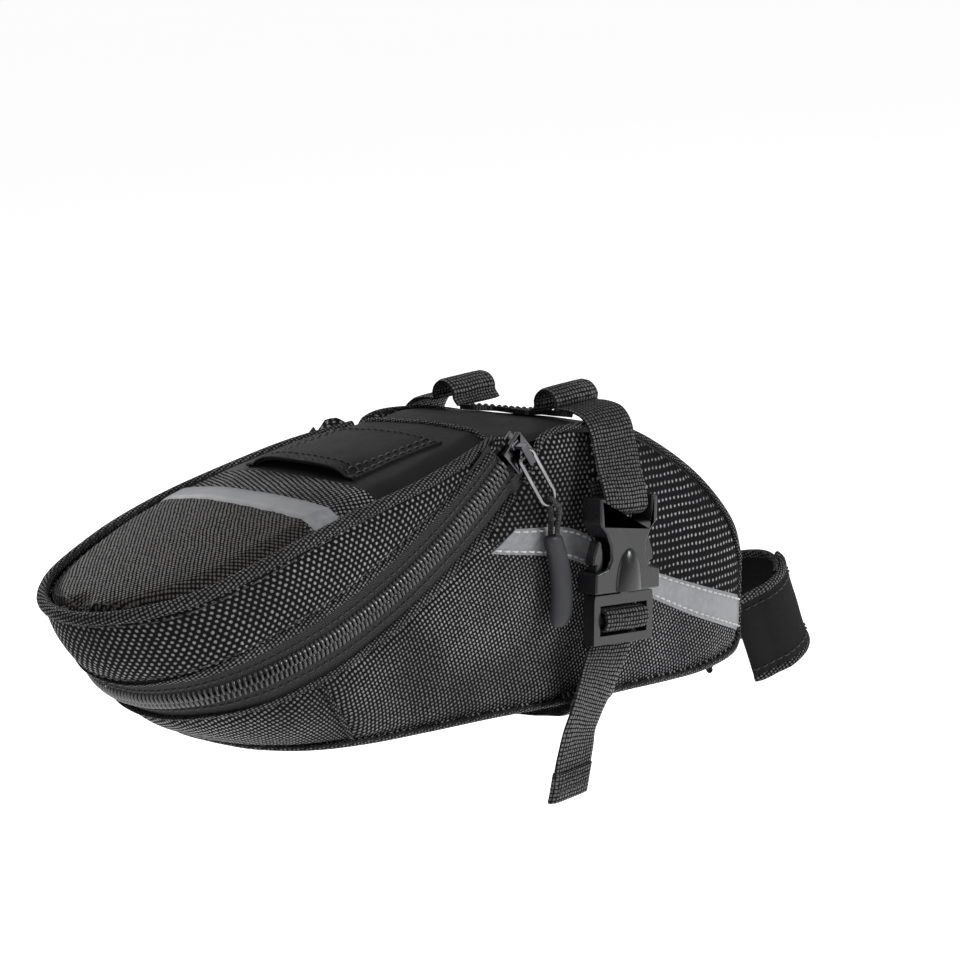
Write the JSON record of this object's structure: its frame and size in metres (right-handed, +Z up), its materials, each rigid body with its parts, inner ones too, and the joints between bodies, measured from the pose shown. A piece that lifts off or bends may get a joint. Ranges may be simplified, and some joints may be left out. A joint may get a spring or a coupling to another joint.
{
  "type": "saddle bag",
  "caption": "Zipped wedge-shaped bag that hangs from bicycle saddle rails by buckled webbing straps and ties to the seat post with a hook-and-loop strap.",
  "frame": {"origin": "midway between the two saddle rails, where the straps go over them", "axes": "+X forward, towards the seat post; +Y to the rider's left; +Z up"},
  "size_m": [0.2884, 0.1006, 0.1157],
  "materials": {
    "body_cloth": "coarse woven polyester, dotted weave",
    "lid_cloth": "coarse woven polyester",
    "smooth_cloth": "coated, smooth",
    "lining": "plain nylon",
    "board": "matte sheet",
    "reflective_tape": "grey retro-reflective",
    "zipper_tape": "woven tape",
    "zipper_coil": "moulded nylon coil",
    "gunmetal": "dark plated",
    "cord": "braided",
    "grip_rubber": "matte moulded",
    "binding": "woven binding",
    "pad": "foam covered in cloth",
    "hook_and_loop": "hook-and-loop",
    "webbing": "woven webbing",
    "buckle_plastic": "satin moulded"
  },
  "bodies": {
    "bag": {"base_board": "board", "belly_strap": "webbing", "body_lining": "lining", "bottom_panel": "body_cloth", "front_panel": "body_cloth", "left_buckle_female": "buckle_plastic", "left_side_panel": "body_cloth", "left_side_reflector": "reflective_tape", "left_upper_webbing": "webbing", "post_pad": "pad", "post_strap": "hook_and_loop", "rear_panel": "body_cloth", "right_buckle_female": "buckle_plastic", "right_side_panel": "body_cloth", "right_side_reflector": "reflective_tape", "right_upper_webbing": "webbing", "strap_anchor": "webbing", "top_panel": "smooth_cloth", "zipper_body_coil": "zipper_coil", "zipper_body_tape": "zipper_tape"},
    "lid": {"lid_top_panel": "lid_cloth", "lid_gusset": "lid_cloth", "lid_piping": "binding", "lid_reflector": "reflective_tape", "lid_stiffener": "board", "lid_lining": "lining", "light_loop": "smooth_cloth", "zipper_lid_tape": "zipper_tape", "zipper_lid_coil": "zipper_coil"},
    "slider": {"zipper_slider": "gunmetal"},
    "bail": {"pull_bail": "gunmetal"},
    "pull": {"pull_cord": "cord", "pull_grip": "grip_rubber"},
    "right_male": {"right_buckle_male": "buckle_plastic", "right_front_prong": "buckle_plastic", "right_rear_prong": "buckle_plastic", "right_ladder_webbing": "webbing"},
    "right_tail": {"right_strap_tail": "webbing", "right_tail_end": "webbing"},
    "left_male": {"left_buckle_male": "buckle_plastic", "left_front_prong": "buckle_plastic", "left_rear_prong": "buckle_plastic", "left_ladder_webbing": "webbing"},
    "left_tail": {"left_strap_tail": "webbing", "left_tail_end": "webbing"},
    "post_flap": {"post_strap_flap": "hook_and_loop"}
  },
  "joints": [
    {"name": "lid_open", "type": "hinge", "parent": "bag", "child": "lid", "pos_m": [-0.04, 0, -0.0024], "axis": [0, 1, 0], "range_deg": [0, 60]},
    {"name": "slider_travel", "type": "hinge", "parent": "bag", "child": "slider", "pos_m": [-0.1684, -0.0385, 0.1523], "axis": [0, 1, 0], "range_deg": [0, 20]},
    {"name": "bail_lift", "type": "hinge", "parent": "slider", "child": "bail", "pos_m": [-0.04091, -0.0428, -0.00683], "axis": [-0.8746, 0, -0.4848], "range_deg": [0, 90]},
    {"name": "pull_swing", "type": "hinge", "parent": "bail", "child": "pull", "pos_m": [-0.03194, -0.0428, -0.02301], "axis": [0, 1, 0], "range_deg": [0, 25]},
    {"name": "right_buckle_release", "type": "slide", "parent": "bag", "child": "right_male", "axis": [-0.134, 0, -0.991], "range_m": [0, 0.014], "deforming": ["right_front_prong", "right_rear_prong"]},
    {"name": "right_tail_swing", "type": "hinge", "parent": "right_male", "child": "right_tail", "pos_m": [-0.01273, -0.04295, -0.0689], "axis": [-0.991, 0, 0.134], "range_deg": [0, 45]},
    {"name": "left_buckle_release", "type": "slide", "parent": "bag", "child": "left_male", "axis": [-0.134, 0, -0.991], "range_m": [0, 0.014], "deforming": ["left_front_prong", "left_rear_prong"]},
    {"name": "left_tail_swing", "type": "hinge", "parent": "left_male", "child": "left_tail", "pos_m": [-0.01273, 0.04295, -0.0689], "axis": [0.991, 0, -0.134], "range_deg": [0, 45]},
    {"name": "post_strap_peel", "type": "hinge", "parent": "bag", "child": "post_flap", "pos_m": [0.08103, -0.01038, -0.09468], "axis": [0.3157, 0, -0.9489], "range_deg": [0, 50]}
  ]
}
